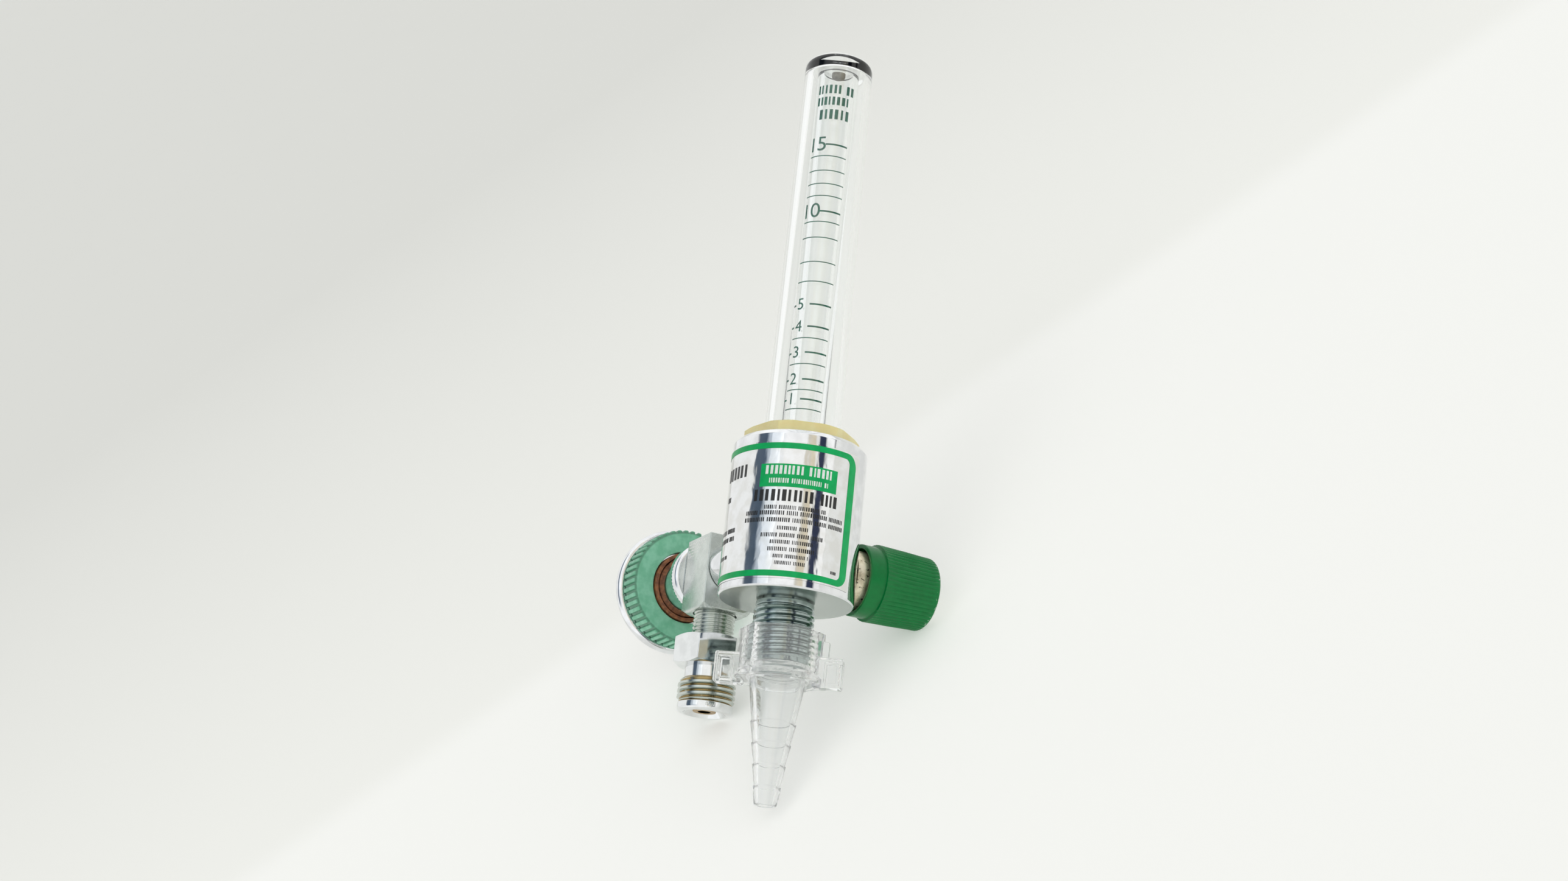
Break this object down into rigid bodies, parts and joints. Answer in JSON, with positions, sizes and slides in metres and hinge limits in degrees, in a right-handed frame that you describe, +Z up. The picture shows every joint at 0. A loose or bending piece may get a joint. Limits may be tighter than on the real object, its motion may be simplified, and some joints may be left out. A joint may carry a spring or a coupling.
{
  "type": "oxygen flowmeter",
  "caption": "Wall-outlet gas flowmeter: clear scaled tube on a chrome body, ribbed knob, hand-tight inlet nut, threaded take-off, wing nut with tapered hose nipple.",
  "frame": {"origin": "on the inlet's axis, in the plane of the hand-tight nut's wall-side face", "axes": "+Y along the inlet's axis towards the wall outlet, +X towards the knob, +Z up along the flow tube"},
  "size_m": [0.0522, 0.0855, 0.1855],
  "materials": {
    "body": "polished chrome plate",
    "label": "clear film with printed green frame and dark print",
    "hex_collar": "ivory moulded plastic",
    "outer_tube": "clear moulded polycarbonate",
    "flow_tube": "clear tube with green printed scale",
    "shroud_seal": "black rubber",
    "tube_gasket": "black rubber",
    "ball_seat": "white plastic",
    "ball_stop": "grey-brown rubber",
    "float_ball": "ground steel ball",
    "valve_seat": "turned brass",
    "valve_bonnet": "worn nickel plate",
    "valve_stem": "turned brass",
    "stem_packing": "black rubber",
    "knob": "dark green moulded plastic",
    "knob_cap": "white plastic disc",
    "knob_screw": "zinc plate",
    "body_connector": "polished chrome plate",
    "tee_block": "polished chrome plate",
    "takeoff_fitting": "chrome plate, brass worn through on the thread",
    "takeoff_poppet": "turned brass",
    "poppet_seal": "black rubber",
    "spring_retainer": "turned brass",
    "takeoff_spring": "spring wire",
    "inlet_hub": "polished chrome plate",
    "friction_washer": "brown fibre",
    "inlet_nut": "polished chrome plate",
    "grip_ring": "mint green plastic, worn",
    "inlet_nipple": "turned brass",
    "nipple_seal": "black rubber",
    "inlet_filter": "sintered bronze",
    "outlet_stem": "polished chrome plate",
    "outlet_gasket": "nylon washer",
    "wing_nut": "clear moulded plastic",
    "hose_nipple": "clear moulded plastic"
  },
  "bodies": {
    "meter": {"body": "body", "label": "label", "hex_collar": "hex_collar", "outer_tube": "outer_tube", "flow_tube": "flow_tube", "shroud_seal": "shroud_seal", "tube_gasket": "tube_gasket", "ball_seat": "ball_seat", "ball_stop": "ball_stop", "valve_seat": "valve_seat", "valve_bonnet": "valve_bonnet", "body_connector": "body_connector", "tee_block": "tee_block", "takeoff_fitting": "takeoff_fitting", "spring_retainer": "spring_retainer", "takeoff_spring": "takeoff_spring", "inlet_hub": "inlet_hub", "friction_washer": "friction_washer", "inlet_nipple": "inlet_nipple", "nipple_seal": "nipple_seal", "inlet_filter": "inlet_filter", "outlet_stem": "outlet_stem", "outlet_gasket": "outlet_gasket"},
    "float": {"float_ball": "float_ball"},
    "needle": {"stem_packing": "stem_packing"},
    "knob": {"valve_stem": "valve_stem", "knob": "knob", "knob_cap": "knob_cap", "knob_screw": "knob_screw"},
    "hand_nut": {"inlet_nut": "inlet_nut", "grip_ring": "grip_ring"},
    "nozzle": {"hose_nipple": "hose_nipple"},
    "wings": {"wing_nut": "wing_nut"},
    "poppet": {"takeoff_poppet": "takeoff_poppet", "poppet_seal": "poppet_seal"}
  },
  "joints": [
    {"name": "float_rise", "type": "slide", "parent": "meter", "child": "float", "axis": [0, 0, 1], "range_m": [0, 0.091]},
    {"name": "needle_lift", "type": "slide", "parent": "meter", "child": "needle", "axis": [1, 0, 0], "range_m": [0, 0.0015]},
    {"name": "knob_turn", "type": "hinge", "parent": "needle", "child": "knob", "pos_m": [0, -0.06938, -0.0055], "axis": [1, 0, 0], "range_deg": [0, 540]},
    {"name": "inlet_nut_spin", "type": "hinge", "parent": "meter", "child": "hand_nut", "pos_m": [0, 0, 0], "axis": [0, 1, 0], "continuous": true},
    {"name": "nozzle_drop", "type": "slide", "parent": "meter", "child": "nozzle", "axis": [0, 0, -1], "range_m": [0, 0.00424]},
    {"name": "wing_nut_turn", "type": "hinge", "parent": "nozzle", "child": "wings", "pos_m": [0, -0.06938, -0.0145], "axis": [0, 0, -1], "range_deg": [0, 1080]},
    {"name": "takeoff_push", "type": "slide", "parent": "meter", "child": "poppet", "axis": [0, 0, 1], "range_m": [0, 0.0025], "stiffness_N_per_m": 300, "springref_m": -0.003, "deforming": ["takeoff_spring"]}
  ],
  "couplings": [
    {"joint": "needle_lift", "follows": "knob_turn", "m_per_rad": 0.000159},
    {"joint": "nozzle_drop", "follows": "wing_nut_turn", "m_per_rad": 0.00022457}
  ]
}
